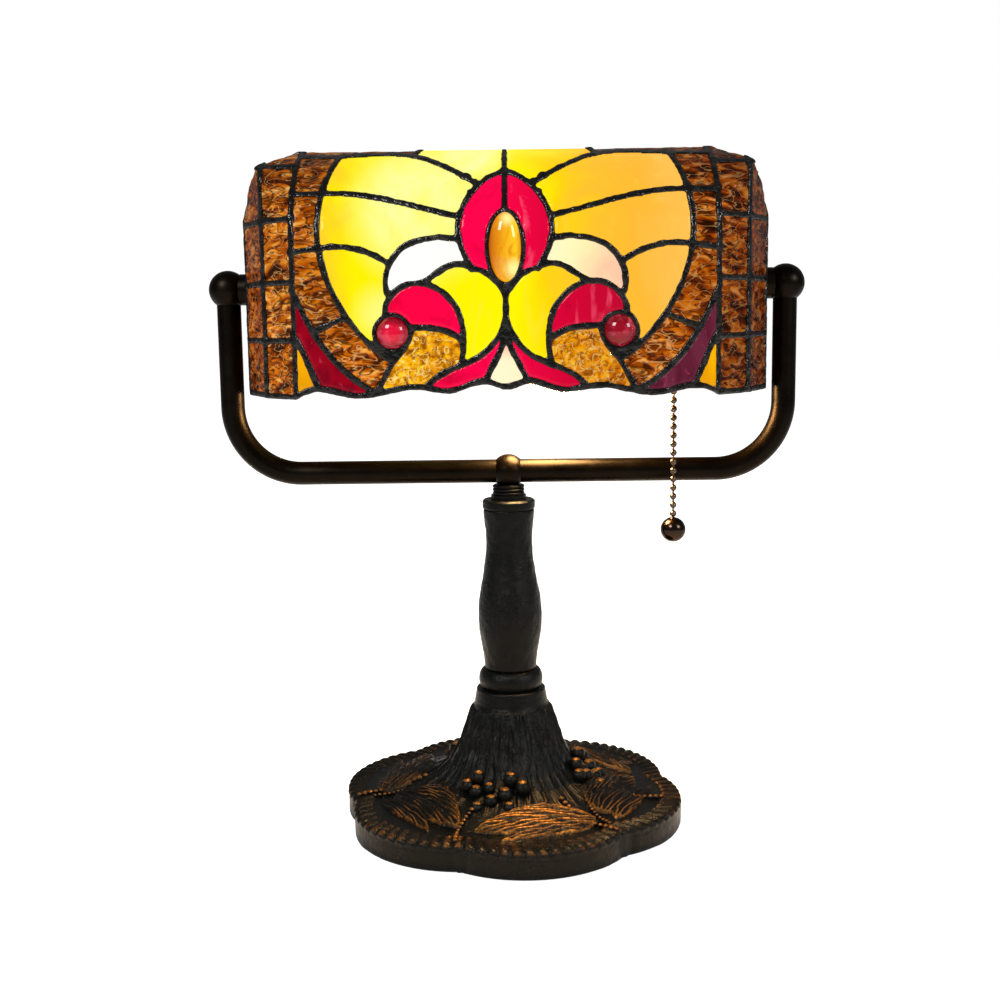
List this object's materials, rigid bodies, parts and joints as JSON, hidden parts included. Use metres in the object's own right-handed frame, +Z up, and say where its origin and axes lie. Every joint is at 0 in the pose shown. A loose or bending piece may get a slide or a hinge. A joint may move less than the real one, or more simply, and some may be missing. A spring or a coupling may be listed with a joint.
{
  "type": "table lamp",
  "caption": "Table lamp with a tilting stained glass trough shade in a bent tube yoke, on a cast stem and lobed base, with a pull chain switch.",
  "frame": {"origin": "on the floor under the stem, at the middle of the base", "axes": "+Z up the stem, +X along the shade towards the pull chain, +Y to the back"},
  "size_m": [0.2884, 0.1706, 0.3297],
  "materials": {
    "bronze_casting": "satin dark bronze with rubbed high spots",
    "bronze_tube": "satin dark bronze",
    "felt": "black felt",
    "ballast_iron": "as cast",
    "bushing_plastic": "black",
    "zinc_steel": "zinc plated",
    "holder_brass": "antique brass",
    "liner_card": "pressed paper",
    "phenolic": "brown moulding",
    "bulb_cap_metal": "plain",
    "frosted_glass": "frosted, lit from inside",
    "wire_sheath": "dark brown",
    "chain_metal": "dark nickel",
    "black_solder": "black patina over solder",
    "plate_brass": "black patina",
    "glass_yellow": "opalescent",
    "glass_cream": "opalescent",
    "glass_red": "streaky",
    "glass_wine": "streaky",
    "glass_ripple": "ripple",
    "glass_granite": "granite texture",
    "glass_amber": "smooth",
    "oval_jewel": "polished cabochon",
    "round_jewel": "polished cabochon"
  },
  "bodies": {
    "stand": {"base_casting": "bronze_casting", "stem_collar": "bronze_casting", "stem_casting": "bronze_casting", "stem_cap": "bronze_casting", "neck_coupling": "bronze_casting", "hub_ball": "bronze_tube", "yoke_tube_right": "bronze_tube", "yoke_tube_left": "bronze_tube", "yoke_ball_right": "bronze_tube", "yoke_ball_left": "bronze_tube", "pivot_discs": "bronze_tube", "felt_pad": "felt", "ballast_ring": "ballast_iron", "cord_bushing": "bushing_plastic", "threaded_rod": "zinc_steel", "rod_washer": "zinc_steel", "rod_nut": "zinc_steel", "pivot_stud_right": "zinc_steel", "pivot_stud_left": "zinc_steel", "pivot_washers": "zinc_steel", "pivot_nuts": "zinc_steel", "holder_cup": "holder_brass", "holder_shell": "holder_brass", "chain_horn": "holder_brass", "screw_shell": "holder_brass", "centre_contact": "holder_brass", "holder_liner": "liner_card", "switch_core": "phenolic", "bulb_cap": "bulb_cap_metal", "bulb_tip": "bulb_cap_metal", "bulb_glass": "frosted_glass", "inner_wire": "wire_sheath"},
    "shade": {"shade_end_plate_right": "plate_brass", "shade_end_plate_left": "plate_brass", "lead_came": "black_solder", "oval_jewels": "oval_jewel", "round_jewels": "round_jewel", "glass_amber_back": "glass_amber", "glass_amber_front": "glass_amber", "glass_cream_back": "glass_cream", "glass_cream_front": "glass_cream", "glass_granite_back": "glass_granite", "glass_granite_front": "glass_granite", "glass_red_back": "glass_red", "glass_red_front": "glass_red", "glass_ripple_back": "glass_ripple", "glass_ripple_ends_left": "glass_ripple", "glass_ripple_ends_right": "glass_ripple", "glass_ripple_front": "glass_ripple", "glass_wine_back": "glass_wine", "glass_wine_front": "glass_wine", "glass_yellow_back": "glass_yellow", "glass_yellow_front": "glass_yellow"},
    "switch_link": {"switch_link": "holder_brass"},
    "pull_chain": {"pull_chain_beads": "chain_metal", "pull_chain_wires": "chain_metal", "pull_ball_knob": "chain_metal"}
  },
  "joints": [
    {"name": "shade_tilt", "type": "hinge", "parent": "stand", "child": "shade", "pos_m": [0, 0, 0.2665], "axis": [1, 0, 0], "range_deg": [-45, 25]},
    {"name": "switch_pull", "type": "slide", "parent": "stand", "child": "switch_link", "axis": [0, 0, -1], "range_m": [0, 0.008], "stiffness_N_per_m": 300, "springref_m": -0.002},
    {"name": "chain_swing", "type": "hinge", "parent": "switch_link", "child": "pull_chain", "pos_m": [0.0792, -0.0185, 0.2494], "axis": [0, 1, 0], "range_deg": [-20, 20]}
  ]
}
